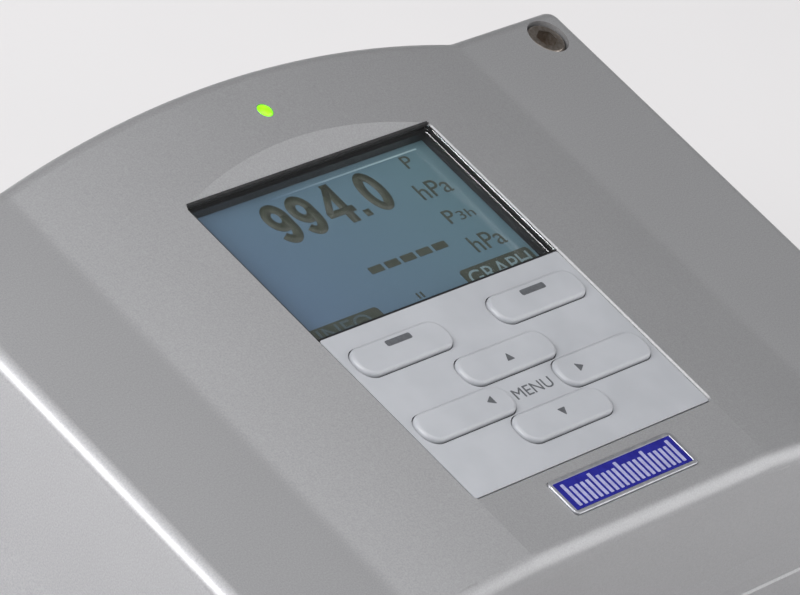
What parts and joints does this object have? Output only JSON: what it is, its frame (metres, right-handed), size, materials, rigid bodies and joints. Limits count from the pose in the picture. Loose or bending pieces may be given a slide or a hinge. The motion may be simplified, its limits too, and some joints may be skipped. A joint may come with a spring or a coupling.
{
  "type": "digital barometer",
  "caption": "Wall-mounted digital barometer: two-part cast housing with an arched front, recessed screen, pale keypad, status light, cable gland and pressure fitting.",
  "frame": {"origin": "centre of the flat back face that goes against the wall", "axes": "+Z out of the front, through the screen; +X to the screen's right; +Y to the screen's top; the gland and the pressure fitting point along -Y"},
  "size_m": [0.183, 0.1376, 0.0714],
  "materials": {
    "cast_paint": "fine sandy light metallic grey paint",
    "seal_rubber": "matt black",
    "steel": "stainless, turned",
    "black_plastic": "moulded black",
    "terminal_plastic": "moulded green",
    "clear_window": "clear polished",
    "screen_glass": "blue-grey screen with dark digits",
    "light_guide": "white",
    "circuit_board": "green solder mask",
    "keypad_plastic": "pale grey, satin",
    "status_light": "lit green",
    "badge_enamel": "deep blue with silver edge",
    "plated_brass": "nickel plated",
    "module_metal": "satin",
    "cable_grey": "grey flat cable",
    "soft_tube": "translucent silicone"
  },
  "bodies": {
    "housing": {"base_housing": "cast_paint", "front_cover": "cast_paint", "cover_gasket": "seal_rubber", "gland_seal": "seal_rubber", "gland_gasket": "seal_rubber", "plug_gasket": "seal_rubber", "pressure_port_seal": "seal_rubber", "cover_screws": "steel", "display_board_screws": "steel", "main_board_screws": "steel", "terminal_screws": "steel", "earth_screw": "steel", "earth_washer": "steel", "pressure_sensor": "steel", "display_bezel": "black_plastic", "display_header": "black_plastic", "main_header": "black_plastic", "key_switches": "black_plastic", "service_connector": "black_plastic", "power_module": "black_plastic", "board_chips": "black_plastic", "terminal_block": "terminal_plastic", "display_window": "clear_window", "lcd_glass": "screen_glass", "backlight_plate": "light_guide", "display_board": "circuit_board", "main_board": "circuit_board", "sensor_board": "circuit_board", "keypad_panel": "keypad_plastic", "status_lens": "status_light", "status_led": "status_light", "badge_plate": "badge_enamel", "gland_body": "plated_brass", "gland_nut": "plated_brass", "gland_locknut": "plated_brass", "blind_plug": "plated_brass", "plug_locknut": "plated_brass", "pressure_port": "plated_brass", "pressure_port_nut": "plated_brass", "sensor_case": "module_metal", "sensor_lid": "module_metal", "ribbon_cable": "cable_grey", "pressure_tube": "soft_tube"},
    "soft_left_key": {"key_soft_left": "keypad_plastic"},
    "soft_right_key": {"key_soft_right": "keypad_plastic"},
    "up_key": {"key_up": "keypad_plastic"},
    "down_key": {"key_down": "keypad_plastic"},
    "left_key": {"key_left": "keypad_plastic"},
    "right_key": {"key_right": "keypad_plastic"}
  },
  "joints": [
    {"name": "soft_left_press", "type": "slide", "parent": "housing", "child": "soft_left_key", "axis": [0, 0, -1], "range_m": [0, 0.0005], "stiffness_N_per_m": 3000},
    {"name": "soft_right_press", "type": "slide", "parent": "housing", "child": "soft_right_key", "axis": [0, 0, -1], "range_m": [0, 0.0005], "stiffness_N_per_m": 3000},
    {"name": "up_press", "type": "slide", "parent": "housing", "child": "up_key", "axis": [0, 0, -1], "range_m": [0, 0.0005], "stiffness_N_per_m": 3000},
    {"name": "down_press", "type": "slide", "parent": "housing", "child": "down_key", "axis": [0, 0, -1], "range_m": [0, 0.0005], "stiffness_N_per_m": 3000},
    {"name": "left_press", "type": "slide", "parent": "housing", "child": "left_key", "axis": [0, 0, -1], "range_m": [0, 0.0005], "stiffness_N_per_m": 3000},
    {"name": "right_press", "type": "slide", "parent": "housing", "child": "right_key", "axis": [0, 0, -1], "range_m": [0, 0.0005], "stiffness_N_per_m": 3000}
  ]
}
